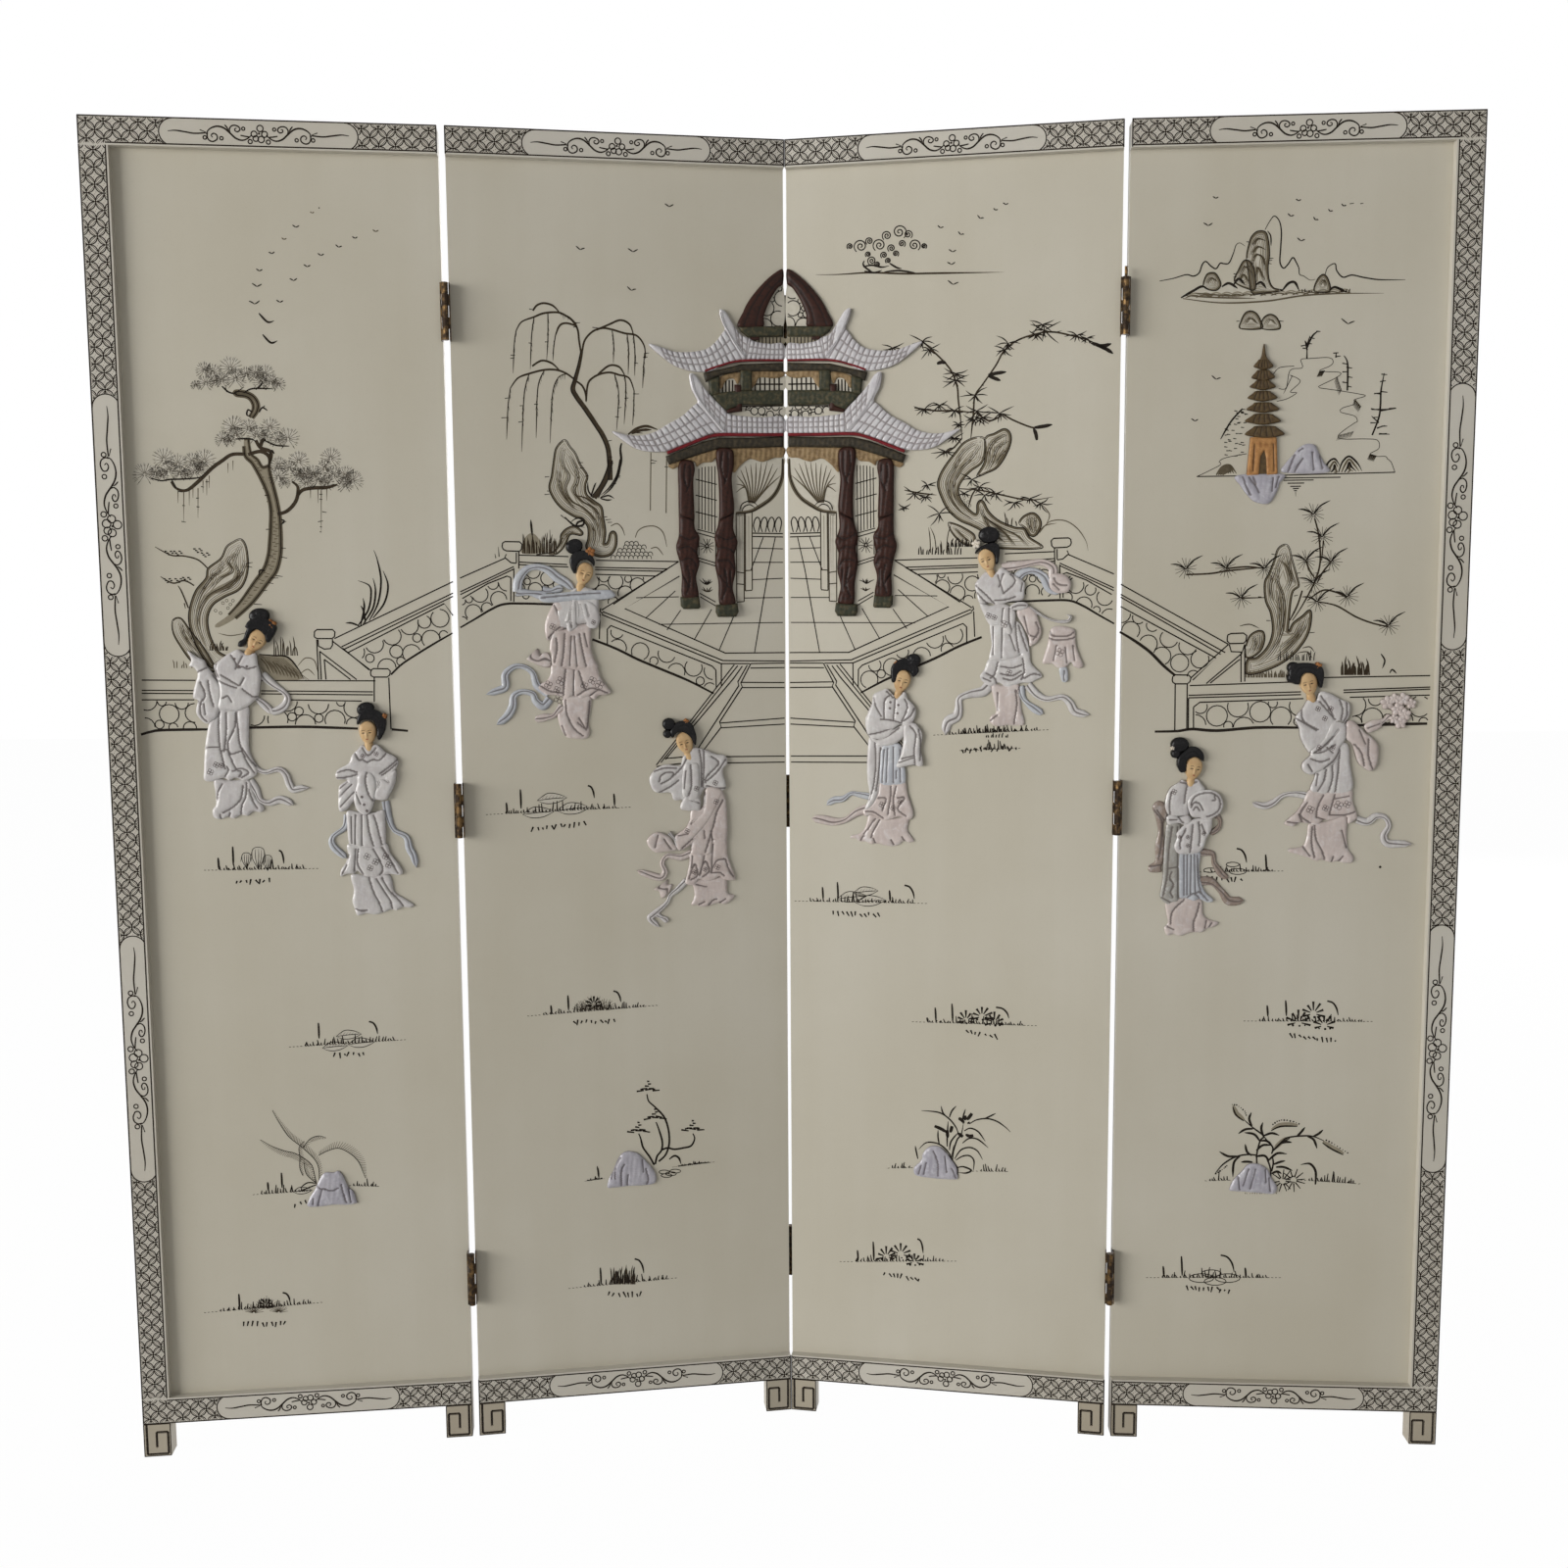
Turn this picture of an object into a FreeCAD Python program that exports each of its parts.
import FreeCAD, Part
import math
import os

# Four-panel lacquered folding screen, in millimetres.
# The row frame has +Z up and the painted fronts facing -Y. The origin is on the floor, at the middle of the footprint.
# Each panel is modelled lying in its own frame and then set at its angle:
# x runs from its left end to its right end, y from its front to its back, and z up from the floor.

# Panels
PANEL_WIDTH = 457.0
SCREEN_HEIGHT = 1829.0
BOARD_THICKNESS = 15.0
CORNER_EASE = 3.0

# Raised border strips on the front, and the feet
BORDER_WIDTH = 37.0
BORDER_RISE = 12.0
FOOT_WIDTH = 37.0
FOOT_HEIGHT = 48.0
FRET_WIDTH = 1.8
FRET_DEPTH = 0.8

# Folds: the gap between two panels laid flat, what is left between their corners at the stop,
# and the space left between two panels folded face to face
FOLD_GAP = 10.0
STOP_CLEARANCE = 0.6
CLOSED_SPACE = 2.0
OUTER_LEFT_BEND = 2.3
OUTER_RIGHT_BEND = 6.6

# Butt hinges, three to a fold
HINGE_COUNT = 3
LOWEST_HINGE = 236.0
HINGE_SPACING = 676.0
HINGE_HEIGHT = 76.0
KNUCKLE_COUNT = 5
KNUCKLE_DIAMETER = 9.2
KNUCKLE_SPACE = 0.4
PIN_DIAMETER = 4.0
PIN_CLEARANCE = 0.05
RAISED_PIN = 13.0
BARREL_SIDES = 10
LEAF_THICKNESS = 1.5
LEAF_LAND = 2.0
SCREW_COUNT = 2
SCREW_SIDES = 6
SCREW_DIAMETER = 3.0
SCREW_HEAD_DIAMETER = 6.0
SCREW_LENGTH = 16.0
SCREW_CLEARANCE = 0.1

# Carved pieces on the front, each seated on the lacquered field
ROBE_HEIGHT = 230.0
ROBE_THICKNESS = 7.0
CARVED_BEVEL = 1.5
RIBBON_WIDTH = 8.0
RIBBON_THICKNESS = 3.5
FACE_WIDTH = 25.0
FACE_HEIGHT = 33.0
FACE_THICKNESS = 9.0
HAIR_WIDTH = 34.0
BUN_WIDTH = 22.0
HAIR_THICKNESS = 7.5
HEAD_SIDES = 10
PAVILION_HALF_WIDTH = 237.0
PAVILION_HEIGHT = 479.0
PAVILION_FLOOR = 1178.0
ROOF_THICKNESS = 6.0
TIMBER_THICKNESS = 7.0
COLUMN_THICKNESS = 9.0
PAGODA_HEIGHT = 170.0
PAGODA_WIDTH = 52.0
PAGODA_THICKNESS = 6.0
PAGODA_TIERS = 7
ROCK_WIDTH = 62.0
ROCK_THICKNESS = 5.0

# One overrun serves every cut
OVERRUN = 1.0

# Worked out from the sizes above
PANEL_THICKNESS = BOARD_THICKNESS + BORDER_RISE
PIN_OFFSET = CLOSED_SPACE / 2
HALF_GAP = FOLD_GAP / 2
KNUCKLE_RADIUS = KNUCKLE_DIAMETER / 2
PIN_RADIUS = PIN_DIAMETER / 2
BORE_RADIUS = (PIN_RADIUS + PIN_CLEARANCE) / math.cos(math.pi / BARREL_SIDES)
SCREW_RADIUS = SCREW_DIAMETER / 2
SCREW_HEAD_RADIUS = SCREW_HEAD_DIAMETER / 2
HINGE_CENTRES = [LOWEST_HINGE + i * HINGE_SPACING for i in range(HINGE_COUNT)]
FRONT_PIN_Y = -PIN_OFFSET
BACK_PIN_Y = PANEL_THICKNESS + PIN_OFFSET
PIN_REACH = PANEL_THICKNESS + PIN_OFFSET
STOP_ANGLE = 2 * math.degrees(
    math.atan(HALF_GAP / PIN_REACH) - math.asin(STOP_CLEARANCE / 2 / math.hypot(HALF_GAP, PIN_REACH))
)

# The key fret on a foot's front, as corners in shares of the foot's width and height, from the outer edge
FRET_SHARES = [(0.12, 1.0), (0.12, 0.07), (0.90, 0.07), (0.90, 0.74), (0.48, 0.74), (0.48, 0.28)]

# Each lady: the left end and hem of her robe in shares of the panel's width and height, the robe's size in
# shares of ROBE_HEIGHT, its outline and ribbons in shares of that size, and the centres of her face, hair and bun
LADIES = {
    "lady_1": {
        "panel": 1,
        "place_share": (0.230, 0.495),
        "size_share": (0.574, 1.000),
        "outline_shares": [
            (0.45, 1.00), (0.33, 0.96), (0.25, 0.90), (0.18, 0.90), (0.00, 0.98), (0.06, 0.85),
            (0.03, 0.75), (0.06, 0.58), (0.16, 0.56), (0.12, 0.41), (0.11, 0.24), (0.20, 0.22),
            (0.17, 0.01), (0.46, 0.00), (0.66, 0.03), (0.57, 0.24), (0.65, 0.27), (0.58, 0.42),
            (0.58, 0.66), (0.79, 0.62), (0.93, 0.65), (1.00, 0.72), (0.96, 0.79), (0.72, 0.88),
            (0.68, 0.97), (0.59, 0.99),
        ],
        "ribbon_shares": [
            [(0.54, 0.28), (0.77, 0.27), (0.92, 0.28), (1.02, 0.20), (1.17, 0.18)],
            [(0.54, 0.22), (0.67, 0.11), (0.78, 0.08), (1.01, 0.06)],
        ],
        "face_share": (0.674, 1.057),
        "hair_share": (0.735, 1.139),
        "bun_share": (0.735, 1.200),
        "tilt": -35.0,
    },
    "lady_2": {
        "panel": 1,
        "place_share": (0.646, 0.418),
        "size_share": (0.430, 1.040),
        "outline_shares": [
            (0.35, 1.00), (0.19, 0.92), (0.00, 0.86), (0.03, 0.78), (0.00, 0.64), (0.16, 0.61),
            (0.14, 0.42), (0.02, 0.25), (0.15, 0.22), (0.18, 0.15), (0.15, 0.04), (0.23, 0.00),
            (0.53, 0.01), (1.00, 0.05), (0.78, 0.12), (0.68, 0.22), (0.86, 0.24), (0.77, 0.33),
            (0.66, 0.46), (0.64, 0.61), (0.72, 0.69), (0.80, 0.83), (0.86, 0.91), (0.73, 0.97),
            (0.58, 1.00),
        ],
        "ribbon_shares": [
            [(0.20, 0.58), (-0.05, 0.49), (-0.09, 0.43), (0.02, 0.36), (0.14, 0.34)],
            [(0.60, 0.56), (0.77, 0.46), (0.94, 0.45), (1.01, 0.37), (1.05, 0.29)],
        ],
        "face_share": (0.465, 1.071),
        "hair_share": (0.515, 1.121),
        "bun_share": (0.424, 1.205),
        "tilt": 4.0,
    },
    "lady_3": {
        "panel": 2,
        "place_share": (0.173, 0.552),
        "size_share": (0.613, 1.052),
        "outline_shares": [
            (0.57, 0.89), (0.48, 0.92), (0.36, 0.98), (0.19, 1.00), (0.05, 0.98), (0.00, 0.89),
            (0.02, 0.81), (0.20, 0.78), (0.37, 0.78), (0.31, 0.69), (0.29, 0.61), (0.35, 0.52),
            (0.34, 0.42), (0.22, 0.32), (0.33, 0.27), (0.43, 0.21), (0.38, 0.07), (0.52, 0.00),
            (0.68, 0.00), (0.72, 0.23), (0.92, 0.26), (0.78, 0.45), (0.75, 0.60), (0.83, 0.65),
            (0.83, 0.73), (0.79, 0.79), (1.00, 0.80), (1.00, 0.84), (0.74, 0.85), (0.68, 0.88),
        ],
        "ribbon_shares": [
            [(0.36, 0.29), (0.16, 0.33), (0.07, 0.40), (-0.05, 0.42), (-0.14, 0.33), (-0.29, 0.25)],
            [(0.46, 0.20), (0.21, 0.19), (0.09, 0.25), (-0.04, 0.23), (-0.06, 0.15), (-0.19, 0.09)],
        ],
        "face_share": (0.674, 0.946),
        "hair_share": (0.652, 1.021),
        "bun_share": (0.582, 1.099),
        "tilt": 10.0,
    },
    "lady_4": {
        "panel": 2,
        "place_share": (0.560, 0.416),
        "size_share": (0.548, 1.004),
        "outline_shares": [
            (0.51, 0.98), (0.26, 0.89), (0.07, 0.85), (0.06, 0.78), (0.15, 0.73), (0.29, 0.76),
            (0.29, 0.70), (0.40, 0.62), (0.50, 0.62), (0.43, 0.50), (0.26, 0.48), (0.12, 0.49),
            (0.00, 0.44), (0.04, 0.37), (0.35, 0.37), (0.48, 0.34), (0.45, 0.19), (0.51, 0.14),
            (0.49, 0.03), (0.66, 0.00), (0.99, 0.06), (0.94, 0.17), (1.00, 0.20), (0.92, 0.32),
            (0.91, 0.49), (0.87, 0.70), (0.90, 0.91), (0.82, 0.97), (0.62, 1.00),
        ],
        "ribbon_shares": [
            [(0.52, 0.36), (0.27, 0.33), (0.18, 0.30), (0.17, 0.22), (0.07, 0.20), (-0.10, 0.24)],
            [(0.50, 0.20), (0.29, 0.08), (0.23, 0.04), (0.08, -0.01), (0.06, -0.08), (0.19, -0.10)],
        ],
        "face_share": (0.444, 1.048),
        "hair_share": (0.405, 1.108),
        "bun_share": (0.254, 1.139),
        "tilt": -20.0,
    },
    "lady_5": {
        "panel": 3,
        "place_share": (0.197, 0.465),
        "size_share": (0.443, 0.952),
        "outline_shares": [
            (0.58, 1.00), (0.32, 0.99), (0.23, 0.86), (0.22, 0.70), (0.22, 0.36), (0.18, 0.21),
            (0.00, 0.06), (0.32, 0.01), (0.57, 0.00), (0.89, 0.04), (0.81, 0.18), (0.87, 0.20),
            (0.78, 0.41), (0.74, 0.51), (1.00, 0.53), (1.00, 0.72), (0.85, 0.80), (0.90, 0.88),
            (0.84, 0.94), (0.74, 0.99),
        ],
        "ribbon_shares": [
            [(0.30, 0.31), (-0.03, 0.34), (-0.17, 0.29), (-0.35, 0.27)],
            [(0.26, 0.25), (-0.10, 0.16), (-0.32, 0.15), (-0.55, 0.18)],
        ],
        "face_share": (0.706, 1.073),
        "hair_share": (0.735, 1.151),
        "bun_share": (0.863, 1.201),
        "tilt": -20.0,
    },
    "lady_6": {
        "panel": 3,
        "place_share": (0.582, 0.559),
        "size_share": (0.552, 0.991),
        "outline_shares": [
            (0.20, 0.94), (0.00, 0.87), (0.06, 0.72), (0.15, 0.63), (0.16, 0.42), (0.05, 0.29),
            (0.19, 0.25), (0.20, 0.09), (0.16, 0.02), (0.29, 0.00), (0.56, 0.03), (0.49, 0.10),
            (0.45, 0.25), (0.61, 0.27), (0.71, 0.31), (0.58, 0.46), (0.55, 0.56), (0.63, 0.50),
            (0.71, 0.55), (0.64, 0.70), (0.52, 0.76), (0.52, 0.86), (0.76, 0.82), (0.92, 0.81),
            (1.00, 0.84), (0.98, 0.90), (0.83, 0.98), (0.51, 1.00), (0.34, 0.96),
        ],
        "ribbon_shares": [
            [(0.20, 0.28), (-0.13, 0.20), (-0.21, 0.13), (-0.34, 0.03), (-0.33, -0.04)],
            [(0.52, 0.28), (0.72, 0.19), (0.93, 0.17), (1.05, 0.10), (1.23, 0.08)],
            [(0.62, 0.66), (0.80, 0.70), (0.93, 0.67)],
        ],
        "face_share": (0.110, 1.013),
        "hair_share": (0.157, 1.092),
        "bun_share": (0.126, 1.158),
        "tilt": 20.0,
    },
    "lady_7": {
        "panel": 4,
        "place_share": (0.090, 0.402),
        "size_share": (0.430, 0.935),
        "outline_shares": [
            (0.46, 1.00), (0.25, 0.93), (0.20, 0.87), (0.05, 0.86), (0.12, 0.75), (0.10, 0.50),
            (0.00, 0.43), (0.19, 0.42), (0.11, 0.27), (0.27, 0.22), (0.26, 0.00), (0.72, 0.03),
            (0.99, 0.10), (0.82, 0.11), (0.76, 0.22), (0.88, 0.25), (0.77, 0.37), (0.71, 0.52),
            (0.86, 0.65), (0.99, 0.71), (1.00, 0.89), (0.87, 0.95), (0.73, 0.96), (0.66, 0.99),
        ],
        "ribbon_shares": [
            [(0.66, 0.55), (0.90, 0.54), (0.97, 0.45), (1.12, 0.39)],
            [(0.72, 0.38), (0.94, 0.37), (1.12, 0.26), (1.33, 0.25)],
        ],
        "face_share": (0.586, 1.093),
        "hair_share": (0.556, 1.158),
        "bun_share": (0.394, 1.223),
        "tilt": -10.0,
    },
    "lady_8": {
        "panel": 4,
        "place_share": (0.497, 0.460),
        "size_share": (0.548, 1.017),
        "outline_shares": [
            (0.31, 1.00), (0.15, 0.95), (0.06, 0.84), (0.14, 0.80), (0.14, 0.73), (0.30, 0.67),
            (0.17, 0.57), (0.27, 0.52), (0.39, 0.54), (0.26, 0.42), (0.21, 0.32), (0.00, 0.24),
            (0.08, 0.20), (0.31, 0.21), (0.22, 0.15), (0.07, 0.06), (0.34, 0.01), (0.73, 0.00),
            (0.68, 0.16), (0.65, 0.23), (0.78, 0.26), (0.73, 0.40), (0.65, 0.60), (0.62, 0.68),
            (0.71, 0.68), (0.78, 0.58), (0.89, 0.54), (1.00, 0.57), (0.93, 0.73), (0.99, 0.83),
            (0.85, 0.80), (0.67, 0.83), (0.63, 0.95), (0.49, 1.00),
        ],
        "ribbon_shares": [
            [(0.28, 0.38), (0.05, 0.40), (-0.09, 0.37), (-0.19, 0.31), (-0.33, 0.34)],
            [(0.70, 0.23), (0.91, 0.26), (1.04, 0.27), (1.08, 0.18), (1.14, 0.11), (1.35, 0.11)],
        ],
        "face_share": (0.214, 1.047),
        "hair_share": (0.206, 1.107),
        "bun_share": (0.056, 1.107),
        "tilt": 8.0,
    },
}

# What two of the ladies hold, in shares of the robe's size
LANTERN_SHARES = [
    (0.81, 0.61), (0.92, 0.66), (1.03, 0.61), (1.16, 0.36), (1.06, 0.35), (0.98, 0.37),
    (0.98, 0.29), (0.93, 0.29), (0.93, 0.37), (0.72, 0.39),
]
FLOWER_SHARES = [
    (0.98, 0.95), (1.08, 0.99), (1.26, 0.97), (1.35, 0.90), (1.25, 0.87), (1.28, 0.80),
    (1.14, 0.79), (1.06, 0.86),
]

# The pavilion's left half, in shares of its half width from the fold and of its height.
# A roof and the beam under it share the eave's line.
UPPER_EAVE_SHARES = [(0.0, 0.737), (0.25, 0.735), (0.426, 0.714), (0.478, 0.704)]
UPPER_RIDGE_SHARES = [
    (0.63, 0.714), (0.705, 0.735), (0.77, 0.777), (0.63, 0.757), (0.51, 0.757), (0.42, 0.780),
    (0.35, 0.830), (0.363, 0.880), (0.290, 0.820), (0.245, 0.800), (0.173, 0.793), (0.0, 0.790),
]
LOWER_EAVE_SHARES = [(0.0, 0.528), (0.45, 0.524), (0.608, 0.493), (0.700, 0.472)]
LOWER_RIDGE_SHARES = [
    (0.87, 0.486), (0.945, 0.50), (1.0, 0.532), (0.90, 0.528), (0.78, 0.534), (0.66, 0.551),
    (0.574, 0.580), (0.515, 0.618), (0.536, 0.645), (0.549, 0.697), (0.426, 0.630), (0.333, 0.587),
    (0.177, 0.578), (0.0, 0.578),
]
UPPER_BEAM_SHARES = [(0.45, 0.676), (0.25, 0.706), (0.0, 0.706)]
LOWER_BEAM_SHARES = [
    (0.667, 0.440), (0.523, 0.397), (0.283, 0.424), (0.0, 0.468),
]
DOME_ARCH_SHARES = [
    (0.0, 1.0), (0.08, 0.98), (0.17, 0.946), (0.245, 0.887), (0.27, 0.835), (0.127, 0.835),
    (0.10, 0.88), (0.05, 0.925), (0.0, 0.956),
]
DOME_BEAM_SHARES = [(0.0, 0.840), (0.27, 0.840), (0.27, 0.812), (0.0, 0.812)]
GALLERY_BEAM_SHARES = [(0.0, 0.651), (0.266, 0.649), (0.426, 0.640), (0.340, 0.596), (0.257, 0.616), (0.0, 0.616)]
GALLERY_POST_SHARES = [(0.186, 0.715), (0.25, 0.715), (0.25, 0.640), (0.186, 0.640)]
OUTER_POST_SHARES = [(0.39, 0.700), (0.435, 0.695), (0.41, 0.636), (0.37, 0.630)]
OUTER_COLUMN_SHARES = [(0.625, 0.440), (0.536, 0.412), (0.527, 0.050), (0.617, 0.050)]
INNER_COLUMN_SHARES = [(0.397, 0.422), (0.300, 0.432), (0.304, 0.030), (0.393, 0.030)]
OUTER_BASE_SHARES = [(0.506, 0.058), (0.624, 0.058), (0.624, 0.024), (0.506, 0.024)]
INNER_BASE_SHARES = [(0.287, 0.038), (0.418, 0.038), (0.418, 0.0), (0.287, 0.0)]

# The pagoda: its foot in shares of the panel's width and height, then shares of its own height and width
PAGODA_PLACE_SHARE = (0.404, 0.748)
PAGODA_BASE_SHARE = 0.28
PAGODA_SPIRE_SHARE = 0.17
PAGODA_TOP_TIER_SHARE = 0.50
PAGODA_WAIST_SHARE = 0.62
PAGODA_BASE_WIDTH_SHARE = 0.81
PAGODA_NECK_WIDTH_SHARE = 0.69
PAGODA_EAVE_RISE_SHARE = 0.25
PAGODA_WAIST_RISE_SHARE = 0.75

# Shell rocks: outline in shares of their width and height; each rock's place in shares of the panel,
# and its width and height in shares of ROCK_WIDTH
ROCK_SHARES = [
    (0.0, 0.0), (0.04, 0.20), (0.22, 0.68), (0.36, 0.95), (0.50, 1.0), (0.68, 0.92), (0.86, 0.55),
    (1.0, 0.18), (0.97, 0.02), (0.60, -0.03),
]
ISLAND_FOOT_SHARES = [(0.0, 1.0), (0.14, 0.56), (0.38, 0.18), (0.64, 0.0), (0.86, 0.28), (1.0, 1.0)]
ISLAND_PLACE_SHARE = (0.333, 0.7255)
ISLAND_SIZE_SHARE = (0.94, 0.64)
ROCKS = {
    "panel_1_rock": [{"panel": 1, "place_share": (0.524, 0.191), "size_share": (1.00, 0.74)}],
    "panel_2_rock": [{"panel": 2, "place_share": (0.420, 0.194), "size_share": (1.08, 0.78)}],
    "panel_3_rock": [{"panel": 3, "place_share": (0.402, 0.199), "size_share": (0.97, 0.73)}],
    "panel_4_rocks": [
        {"panel": 4, "place_share": (0.362, 0.200), "size_share": (0.95, 0.68)},
        {"panel": 4, "place_share": (0.462, 0.748), "size_share": (0.95, 0.65)},
    ],
}


def point(x, y, z):
    return FreeCAD.Vector(x, y, z)


UP = point(0, 0, 1)


def plate(points, front, back):
    """A flat piece with the outline (x, z), from depth front to depth back."""
    corners = [point(x, front, z) for x, z in points]
    return Part.Face(Part.makePolygon(corners + corners[:1])).extrude(point(0, back - front, 0))


def ring(centre, direction, radius, sides, turn=0.0):
    """A regular outline about a line, with its corners on the radius."""
    direction = FreeCAD.Vector(direction).normalize()
    across = point(0, 0, 1) if abs(direction.z) < abs(direction.x) + abs(direction.y) else point(1, 0, 0)
    other = direction.cross(across)
    corners = []
    for i in range(sides):
        angle = math.radians(turn) + 2 * math.pi * (i + 0.5) / sides
        corners.append(centre + across * (radius * math.cos(angle)) + other * (radius * math.sin(angle)))
    return Part.makePolygon(corners + corners[:1])


def rod(start, direction, radius, length, sides):
    direction = FreeCAD.Vector(direction).normalize()
    return Part.Face(ring(start, direction, radius, sides)).extrude(direction * length)


def oval(x, z, width, height, tilt):
    """The outline of an oval that leans to the left by its tilt."""
    c, s = math.cos(math.radians(tilt)), math.sin(math.radians(tilt))
    points = []
    for i in range(HEAD_SIDES):
        angle = 2 * math.pi * i / HEAD_SIDES
        across, up = width / 2 * math.cos(angle), height / 2 * math.sin(angle)
        points.append((x + across * c - up * s, z + across * s + up * c))
    return points


def rectangle(x0, x1, z0, z1):
    return [(x0, z0), (x1, z0), (x1, z1), (x0, z1)]


def eased_top(x0, x1, z0, z1):
    """A rectangle with its two top corners taken off."""
    return [
        (x0, z0), (x1, z0), (x1, z1 - CORNER_EASE), (x1 - CORNER_EASE, z1), (x0 + CORNER_EASE, z1),
        (x0, z1 - CORNER_EASE),
    ]


def block(x0, x1, y0, y1, z0, z1):
    return Part.makeBox(x1 - x0, y1 - y0, z1 - z0, point(x0, y0, z0))


def from_shares(shares, left, bottom, width, height):
    return [(left + x * width, bottom + z * height) for x, z in shares]


def mirrored(points):
    """The same outline, measured from a panel's left end instead of its right end."""
    return [(PANEL_WIDTH - x, z) for x, z in points]


def carved(points, thickness):
    """A piece seated on the field, standing out of it by its thickness."""
    return plate(points, BORDER_RISE - thickness, BORDER_RISE)


def bevelled(points, thickness, bevel):
    """A carved piece with its front edges taken off."""
    solid = carved(points, thickness)
    front = BORDER_RISE - thickness
    rim = [e for e in solid.Edges if all(abs(v.Y - front) < bevel / 2 for v in e.Vertexes)]
    return solid.makeChamfer(bevel, rim)


def band(points, width):
    """The outline of a strip of one width along a line of points."""
    left, right = [], []
    for i, (x, z) in enumerate(points):
        x0, z0 = points[max(i - 1, 0)]
        x1, z1 = points[min(i + 1, len(points) - 1)]
        length = math.hypot(x1 - x0, z1 - z0)
        across, up = -(z1 - z0) / length * width / 2, (x1 - x0) / length * width / 2
        left.append((x + across, z + up))
        right.append((x - across, z - up))
    return left + right[::-1]


# Panels

FRONT_HINGES, BACK_HINGES = "front", "back"
FOLDS = {
    "fold_12": {"left": 1, "right": 2, "side": FRONT_HINGES},
    "fold_23": {"left": 2, "right": 3, "side": BACK_HINGES},
    "fold_34": {"left": 3, "right": 4, "side": FRONT_HINGES},
}
LEFT_END, RIGHT_END = "left_end", "right_end"
SIDE_BORDER = {1: LEFT_END, 4: RIGHT_END}


def leaf_depths(side):
    """Where a leaf begins at its pin's side and where it ends, as depths in the panel."""
    if side == FRONT_HINGES:
        return 0.0, PANEL_THICKNESS - LEAF_LAND
    return PANEL_THICKNESS, BORDER_RISE + LEAF_LAND


def end_x(end, inward):
    """A place measured inward from one end of a panel."""
    return inward if end == LEFT_END else PANEL_WIDTH - inward


def hinged_ends(panel):
    """The ends of a panel that carry hinges, each with the side that its pins are on."""
    ends = []
    for fold in FOLDS.values():
        if fold["right"] == panel:
            ends.append((LEFT_END, fold["side"]))
        if fold["left"] == panel:
            ends.append((RIGHT_END, fold["side"]))
    return ends


def span(a, b):
    return min(a, b), max(a, b)


def seat_depths(side):
    """The part of a leaf that lies against the board's edge."""
    near, far = span(*leaf_depths(side))
    return max(near, BORDER_RISE), far


def screw_places(side):
    """Depth and height of each screw in one end of a panel."""
    near, far = seat_depths(side)
    depth = (near + far) / 2
    pitch = HINGE_HEIGHT / SCREW_COUNT
    places = []
    for centre in HINGE_CENTRES:
        for i in range(SCREW_COUNT):
            places.append((depth, centre + (i - (SCREW_COUNT - 1) / 2) * pitch))
    return places


def screw(end, depth, height, clearance):
    """A countersunk screw, or with a clearance the hole for one. Its head is flush with the leaf."""
    inward = point(1, 0, 0) if end == LEFT_END else point(-1, 0, 0)
    head = SCREW_HEAD_RADIUS + clearance
    shank = SCREW_RADIUS + clearance
    start = point(end_x(end, 0), depth, height)
    neck = start + inward * (SCREW_HEAD_RADIUS - SCREW_RADIUS)
    length = SCREW_LENGTH - (SCREW_HEAD_RADIUS - SCREW_RADIUS) + clearance
    cone = Part.makeLoft([ring(start, inward, head, SCREW_SIDES), ring(neck, inward, shank, SCREW_SIDES)], True, True)
    return cone.fuse(rod(neck, inward, shank, length, SCREW_SIDES)).removeSplitter()


def board(panel):
    """The lacquered board, with eased top corners and its edges let in for the hinge leaves."""
    solid = plate(eased_top(0, PANEL_WIDTH, FOOT_HEIGHT, SCREEN_HEIGHT), BORDER_RISE, PANEL_THICKNESS)
    cuts = []
    for end, side in hinged_ends(panel):
        near, far = seat_depths(side)
        if side == FRONT_HINGES:
            near -= OVERRUN
        else:
            far += OVERRUN
        x0, x1 = span(end_x(end, -OVERRUN), end_x(end, LEAF_THICKNESS))
        for centre in HINGE_CENTRES:
            cuts.append(block(x0, x1, near, far, centre - HINGE_HEIGHT / 2, centre + HINGE_HEIGHT / 2))
        for depth, height in screw_places(side):
            cuts.append(screw(end, depth, height, SCREW_CLEARANCE))
    return solid.cut(Part.makeCompound(cuts))


def borders(panel):
    """The raised strips round the field. An outer panel's side strip stands between the other two."""
    top, bottom = SCREEN_HEIGHT, FOOT_HEIGHT
    inner_top, inner_bottom = top - BORDER_WIDTH, bottom + BORDER_WIDTH
    strips = {
        "top_border": eased_top(0, PANEL_WIDTH, inner_top, top),
        "bottom_border": rectangle(0, PANEL_WIDTH, bottom, inner_bottom),
    }
    if panel in SIDE_BORDER:
        x0, x1 = span(end_x(SIDE_BORDER[panel], 0), end_x(SIDE_BORDER[panel], BORDER_WIDTH))
        strips["side_border"] = rectangle(x0, x1, inner_bottom, inner_top)
    return {name: plate(corners, 0, BORDER_RISE) for name, corners in strips.items()}


def foot(end):
    """A block under one end of a panel, with a key fret cut in its front."""
    x0, x1 = span(end_x(end, 0), end_x(end, FOOT_WIDTH))
    solid = block(x0, x1, 0, PANEL_THICKNESS, 0, FOOT_HEIGHT)
    turns = [(end_x(end, x * FOOT_WIDTH), z * FOOT_HEIGHT) for x, z in FRET_SHARES]
    grooves = []
    for (xa, za), (xb, zb) in zip(turns, turns[1:]):
        gx0, gx1 = span(xa, xb)
        gz0, gz1 = span(za, zb)
        half = FRET_WIDTH / 2
        grooves.append(block(gx0 - half, gx1 + half, -OVERRUN, FRET_DEPTH, gz0 - half, gz1 + half))
    return solid.cut(Part.makeCompound(grooves))


# Hinges

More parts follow.
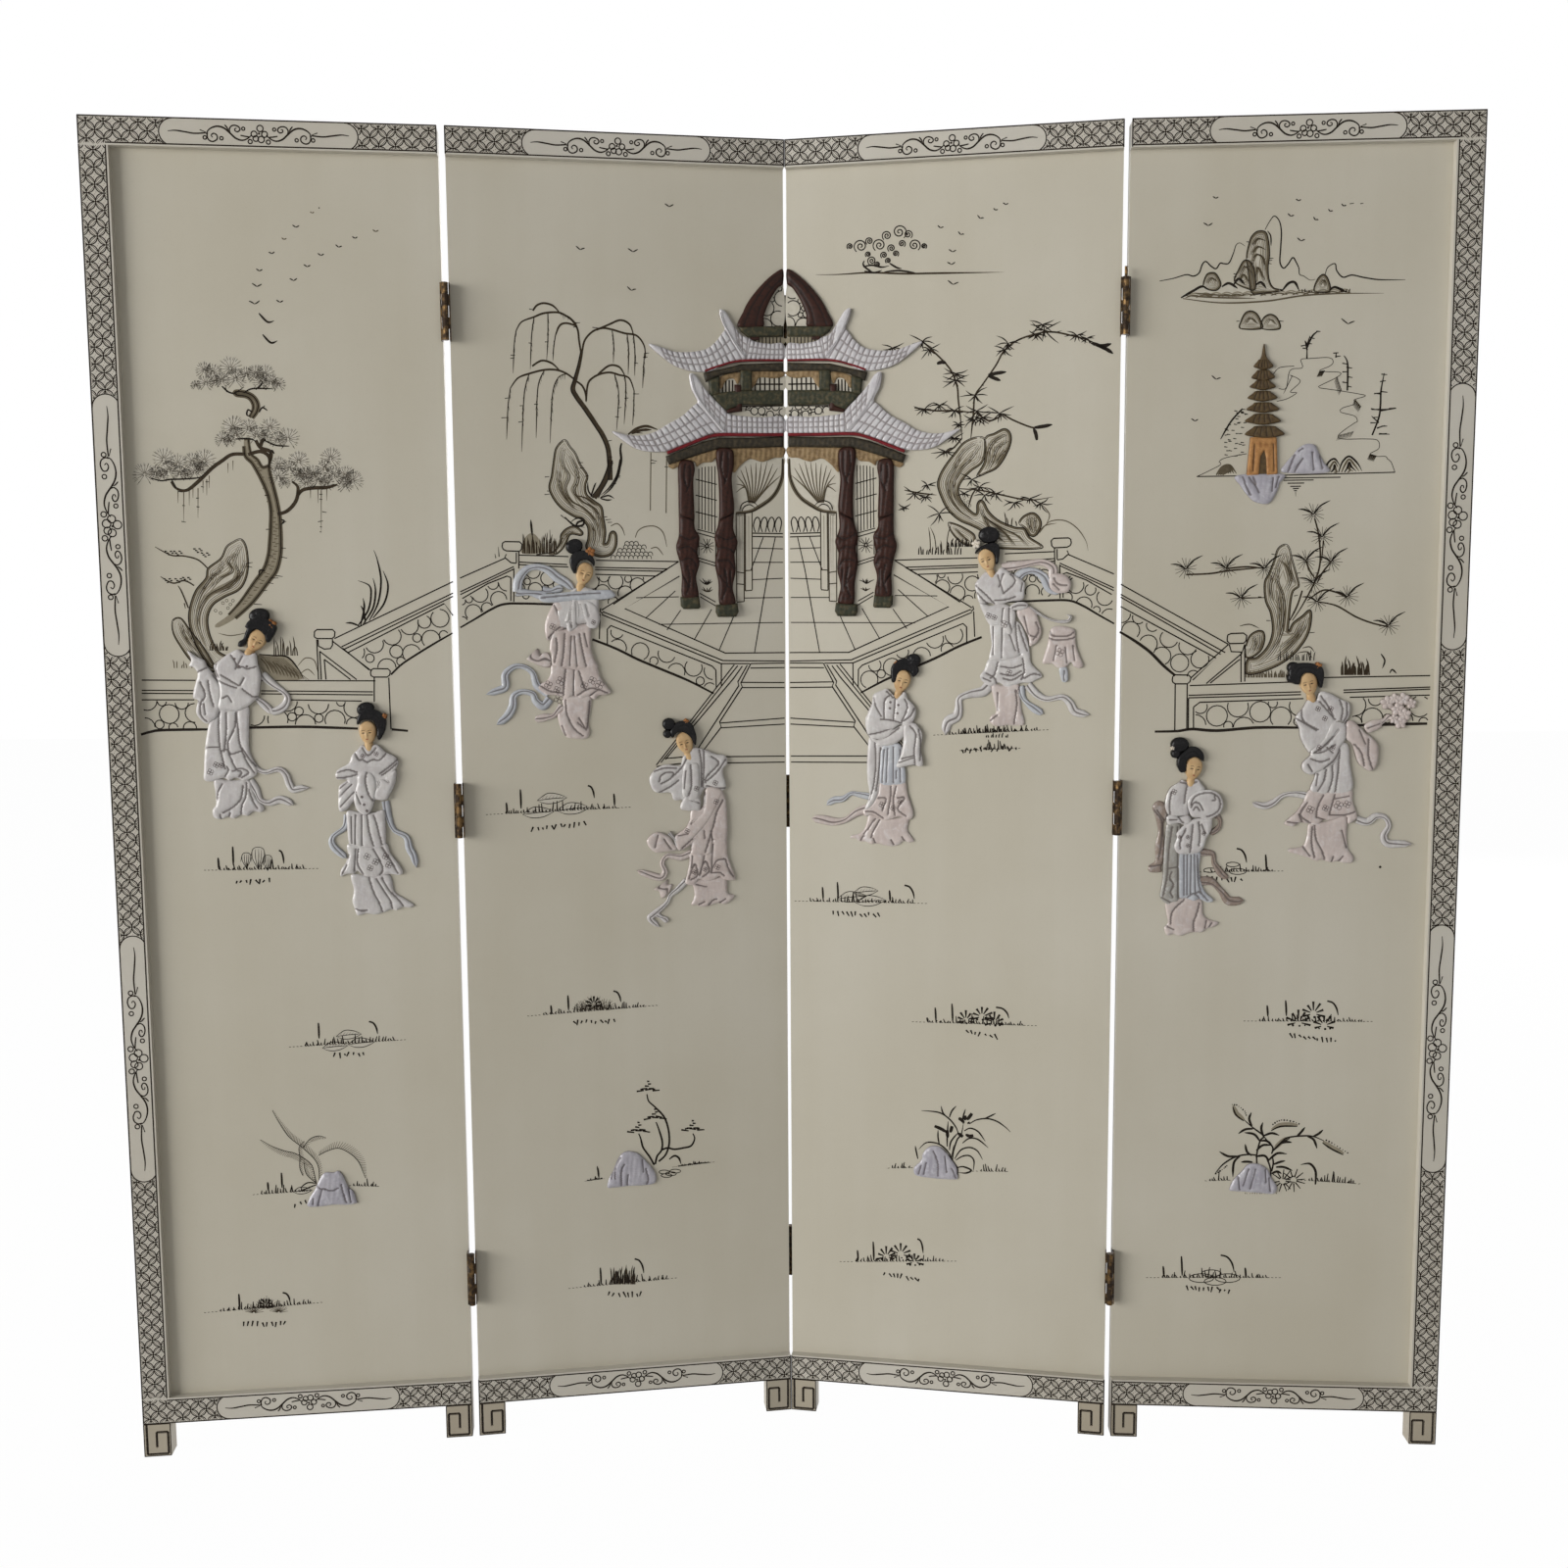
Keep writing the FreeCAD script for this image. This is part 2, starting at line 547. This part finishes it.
def pin_place(end, side):
    """The pin's axis in a panel's own frame."""
    return end_x(end, -HALF_GAP), FRONT_PIN_Y if side == FRONT_HINGES else BACK_PIN_Y


def hinge_leaf(end, side, centre, first):
    """A leaf let into the board's edge, with every second knuckle from the first one."""
    axis_x, axis_y = pin_place(end, side)
    near, far = leaf_depths(side)
    x0, x1 = span(end_x(end, 0), end_x(end, LEAF_THICKNESS))
    y0, y1 = span(near, far)
    foot_z = centre - HINGE_HEIGHT / 2
    solid = block(x0, x1, y0, y1, foot_z, foot_z + HINGE_HEIGHT)
    pitch = HINGE_HEIGHT / KNUCKLE_COUNT
    towards_board = 1 if side == FRONT_HINGES else -1
    # The arm joins leaf and knuckle beside the bore
    arm_x0, arm_x1 = span(end_x(end, LEAF_THICKNESS), end_x(end, -HALF_GAP + (BORE_RADIUS + KNUCKLE_RADIUS) / 2))
    arm_y0, arm_y1 = span(near, near + towards_board * LEAF_THICKNESS)
    for i in range(first, KNUCKLE_COUNT, 2):
        z = foot_z + i * pitch + KNUCKLE_SPACE / 2
        height = pitch - KNUCKLE_SPACE
        knuckle = rod(point(axis_x, axis_y, z), UP, KNUCKLE_RADIUS, height, BARREL_SIDES)
        arm = block(arm_x0, arm_x1, arm_y0, arm_y1, z, z + height)
        solid = solid.fuse([knuckle, arm])
    bore_foot = point(axis_x, axis_y, foot_z - OVERRUN)
    bore = rod(bore_foot, UP, BORE_RADIUS, HINGE_HEIGHT + 2 * OVERRUN, BARREL_SIDES)
    holes = [
        screw(end, depth, height, SCREW_CLEARANCE)
        for depth, height in screw_places(side)
        if abs(height - centre) < HINGE_HEIGHT / 2
    ]
    return solid.cut(Part.makeCompound([bore] + holes)).removeSplitter()


def hinge_pin(end, side, centre, rise):
    """A plain pin. A rise leaves it standing out of its barrel."""
    axis_x, axis_y = pin_place(end, side)
    foot_z = centre - HINGE_HEIGHT / 2 + rise
    return Part.makeCylinder(PIN_RADIUS, HINGE_HEIGHT, point(axis_x, axis_y, foot_z))


# Carved pieces

def figure_box(figure, unit):
    """Left end, bottom, width and height of a figure, from its shares."""
    left = figure["place_share"][0] * PANEL_WIDTH
    bottom = figure["place_share"][1] * SCREEN_HEIGHT
    return left, bottom, figure["size_share"][0] * unit, figure["size_share"][1] * unit


def lady_head(figure):
    """A face tilted with the head, and the dressed hair behind it."""
    left, bottom, width, height = figure_box(figure, ROBE_HEIGHT)
    (fx, fz), (hx, hz), (bx, bz) = from_shares(
        [figure["face_share"], figure["hair_share"], figure["bun_share"]], left, bottom, width, height
    )
    face = carved(oval(fx, fz, FACE_WIDTH, FACE_HEIGHT, figure["tilt"]), FACE_THICKNESS)
    hair = carved(oval(hx, hz, HAIR_WIDTH, HAIR_WIDTH, figure["tilt"]), HAIR_THICKNESS)
    bun = carved(oval(bx, bz, BUN_WIDTH, BUN_WIDTH, figure["tilt"]), HAIR_THICKNESS)
    return face, hair.fuse(bun).cut(face)


def lady_robe(figure, head):
    """Robe, sleeves and hem in one carved piece with its ribbons, cut to fit round the head."""
    left, bottom, width, height = figure_box(figure, ROBE_HEIGHT)
    robe = bevelled(from_shares(figure["outline_shares"], left, bottom, width, height), ROBE_THICKNESS, CARVED_BEVEL)
    ribbons = [
        carved(band(from_shares(shares, left, bottom, width, height), RIBBON_WIDTH), RIBBON_THICKNESS)
        for shares in figure["ribbon_shares"]
    ]
    return robe.fuse(ribbons).cut(Part.makeCompound(list(head)))


def held_piece(figure, shares):
    """What a lady holds, as a thinner piece beside her robe."""
    left, bottom, width, height = figure_box(figure, ROBE_HEIGHT)
    return carved(from_shares(shares, left, bottom, width, height), RIBBON_THICKNESS)


def pavilion_points(shares, panel):
    """Pavilion outline on panel 2, left of the fold, or mirrored on panel 3."""
    points = [
        (PANEL_WIDTH - x * PAVILION_HALF_WIDTH, PAVILION_FLOOR + z * PAVILION_HEIGHT) for x, z in shares
    ]
    return points if panel == 2 else mirrored(points)


def pavilion_roofs(panel):
    roofs = [UPPER_EAVE_SHARES + UPPER_RIDGE_SHARES, LOWER_EAVE_SHARES + LOWER_RIDGE_SHARES]
    return [carved(pavilion_points(shares, panel), ROOF_THICKNESS) for shares in roofs]


def pavilion_timber(panel):
    """Dome, beams and gallery of one thickness, with the two columns standing further out on their bases."""
    flat = [
        DOME_ARCH_SHARES,
        DOME_BEAM_SHARES,
        UPPER_EAVE_SHARES + UPPER_BEAM_SHARES,
        LOWER_EAVE_SHARES + LOWER_BEAM_SHARES,
        GALLERY_BEAM_SHARES,
        GALLERY_POST_SHARES,
        OUTER_POST_SHARES,
        OUTER_BASE_SHARES,
        INNER_BASE_SHARES,
    ]
    pieces = [carved(pavilion_points(shares, panel), TIMBER_THICKNESS) for shares in flat]
    columns = [
        bevelled(pavilion_points(shares, panel), COLUMN_THICKNESS, CARVED_BEVEL)
        for shares in (OUTER_COLUMN_SHARES, INNER_COLUMN_SHARES)
    ]
    joined = pieces[0].fuse(pieces[1:] + columns).removeSplitter()
    return joined.Solids


def pagoda():
    """A tower of tiers with upturned eaves, narrowing to a spire, on a plain base."""
    centre = PAGODA_PLACE_SHARE[0] * PANEL_WIDTH
    foot_z = PAGODA_PLACE_SHARE[1] * SCREEN_HEIGHT
    tiers_foot = foot_z + PAGODA_BASE_SHARE * PAGODA_HEIGHT
    tiers_top = foot_z + (1 - PAGODA_SPIRE_SHARE) * PAGODA_HEIGHT
    pitch = (tiers_top - tiers_foot) / PAGODA_TIERS
    half = PAGODA_WIDTH / 2
    side = [(half * PAGODA_BASE_WIDTH_SHARE, foot_z), (half * PAGODA_NECK_WIDTH_SHARE, tiers_foot)]
    for i in range(PAGODA_TIERS):
        narrowing = 1 - (1 - PAGODA_TOP_TIER_SHARE) * i / (PAGODA_TIERS - 1)
        eave = half * narrowing
        z = tiers_foot + i * pitch
        side.append((eave, z + pitch * PAGODA_EAVE_RISE_SHARE))
        side.append((eave * PAGODA_WAIST_SHARE, z + pitch * PAGODA_WAIST_RISE_SHARE))
    right = [(centre + x, z) for x, z in side]
    left = [(centre - x, z) for x, z in side]
    return carved(right + [(centre, foot_z + PAGODA_HEIGHT)] + left[::-1], PAGODA_THICKNESS)


def rocks(places):
    solids = []
    for rock in places:
        left, bottom, width, height = figure_box(rock, ROCK_WIDTH)
        solids.append(bevelled(from_shares(ROCK_SHARES, left, bottom, width, height), ROCK_THICKNESS, CARVED_BEVEL))
    return solids


def island_foot():
    left = ISLAND_PLACE_SHARE[0] * PANEL_WIDTH
    bottom = ISLAND_PLACE_SHARE[1] * SCREEN_HEIGHT
    width, height = (share * ROCK_WIDTH for share in ISLAND_SIZE_SHARE)
    return carved(from_shares(ISLAND_FOOT_SHARES, left, bottom, width, height), ROCK_THICKNESS)


# Assembly: every node's solids in its panel's own frame, then set at the panel's angle

def panel_nodes():
    """Each node with the panel that carries it and its solids in that panel's frame."""
    nodes = {}
    for panel in (1, 2, 3, 4):
        nodes[f"panel_{panel}_board"] = (panel, [board(panel)])
        for name, solid in borders(panel).items():
            nodes[f"panel_{panel}_{name}"] = (panel, [solid])
        nodes[f"panel_{panel}_left_foot"] = (panel, [foot(LEFT_END)])
        nodes[f"panel_{panel}_right_foot"] = (panel, [foot(RIGHT_END)])
        nodes[f"panel_{panel}_screws"] = (
            panel,
            [
                screw(end, depth, height, 0)
                for end, side in hinged_ends(panel)
                for depth, height in screw_places(side)
            ],
        )
    return nodes


def hinge_nodes():
    """Three leaves on each side of a fold, and three pins held by the left panel's leaves."""
    nodes = {}
    for name, fold in FOLDS.items():
        left, right, side = fold["left"], fold["right"], fold["side"]
        nodes[f"{name}_left_leaves"] = (left, [hinge_leaf(RIGHT_END, side, c, 0) for c in HINGE_CENTRES])
        nodes[f"{name}_right_leaves"] = (right, [hinge_leaf(LEFT_END, side, c, 1) for c in HINGE_CENTRES])
        pins = []
        for centre in HINGE_CENTRES:
            raised = name == "fold_34" and centre == HINGE_CENTRES[-1]
            pins.append(hinge_pin(RIGHT_END, side, centre, RAISED_PIN if raised else 0))
        nodes[f"{name}_pins"] = (left, pins)
    return nodes


def carved_nodes():
    nodes = {}
    for name, figure in LADIES.items():
        head = lady_head(figure)
        robe = [lady_robe(figure, head)]
        if name == "lady_6":
            robe.append(held_piece(figure, LANTERN_SHARES).cut(robe[0]))
        if name == "lady_8":
            robe.append(held_piece(figure, FLOWER_SHARES).cut(robe[0]))
        nodes[f"{name}_robe"] = (figure["panel"], robe)
        nodes[f"{name}_head"] = (figure["panel"], list(head))
    for side, panel in (("left", 2), ("right", 3)):
        nodes[f"pavilion_{side}_roofs"] = (panel, pavilion_roofs(panel))
        nodes[f"pavilion_{side}_timber"] = (panel, pavilion_timber(panel))
    nodes["pagoda"] = (4, [pagoda()])
    for name, places in ROCKS.items():
        solids = rocks(places)
        if name == "panel_4_rocks":
            solids.append(island_foot())
        nodes[name] = (places[0]["panel"], solids)
    return nodes


def turned(x, y, angle):
    """A place in a panel's frame as an offset in the row frame."""
    c, s = math.cos(math.radians(angle)), math.sin(math.radians(angle))
    return x * c - y * s, x * s + y * c


def panel_origins():
    """Where each panel's own origin stands and its angle, with fold 2-3 at its stop and its pins at zero."""
    angles = {2: STOP_ANGLE / 2, 3: -STOP_ANGLE / 2}
    angles[1] = angles[2] - OUTER_LEFT_BEND
    angles[4] = angles[3] + OUTER_RIGHT_BEND
    axes = {"fold_23": (0.0, 0.0)}
    origins = {}
    for fold, panel, end in (
        ("fold_23", 2, RIGHT_END),
        ("fold_23", 3, LEFT_END),
        ("fold_12", 1, RIGHT_END),
        ("fold_34", 4, LEFT_END),
    ):
        if fold not in axes:
            # The outer folds hang from panels that already stand
            inner, inner_end = (2, LEFT_END) if fold == "fold_12" else (3, RIGHT_END)
            dx, dy = turned(*pin_place(inner_end, FOLDS[fold]["side"]), angles[inner])
            axes[fold] = (origins[inner][0] + dx, origins[inner][1] + dy)
        dx, dy = turned(*pin_place(end, FOLDS[fold]["side"]), angles[panel])
        origins[panel] = (axes[fold][0] - dx, axes[fold][1] - dy)
    return origins, angles, axes


def main():
    os.makedirs("parts", exist_ok=True)
    nodes = {**panel_nodes(), **hinge_nodes(), **carved_nodes()}
    origins, angles, axes = panel_origins()
    placed = {}
    for name, (panel, solids) in nodes.items():
        shape = Part.makeCompound(solids)
        x, y = origins[panel]
        turn = FreeCAD.Rotation(UP, angles[panel])
        shape.Placement = FreeCAD.Placement(point(x, y, 0), turn)
        placed[name] = shape
    bounds = Part.makeCompound(list(placed.values())).optimalBoundingBox(False)
    middle_x, middle_y = (bounds.XMin + bounds.XMax) / 2, (bounds.YMin + bounds.YMax) / 2
    for name, shape in placed.items():
        shape.translate(point(-middle_x, -middle_y, 0))
        shape.exportStep(f"parts/{name}.step")
        valid = shape.isValid() and all(s.isClosed() for s in shape.Solids)
        print(name, "solids", len(shape.Solids), "valid", valid)
    print("nodes", len(placed), "size", bounds.XLength, bounds.YLength, bounds.ZLength)
    print("stop angle", STOP_ANGLE, "angles", angles)
    for fold, (x, y) in axes.items():
        print(fold, "axis at", x - middle_x, y - middle_y)


main()
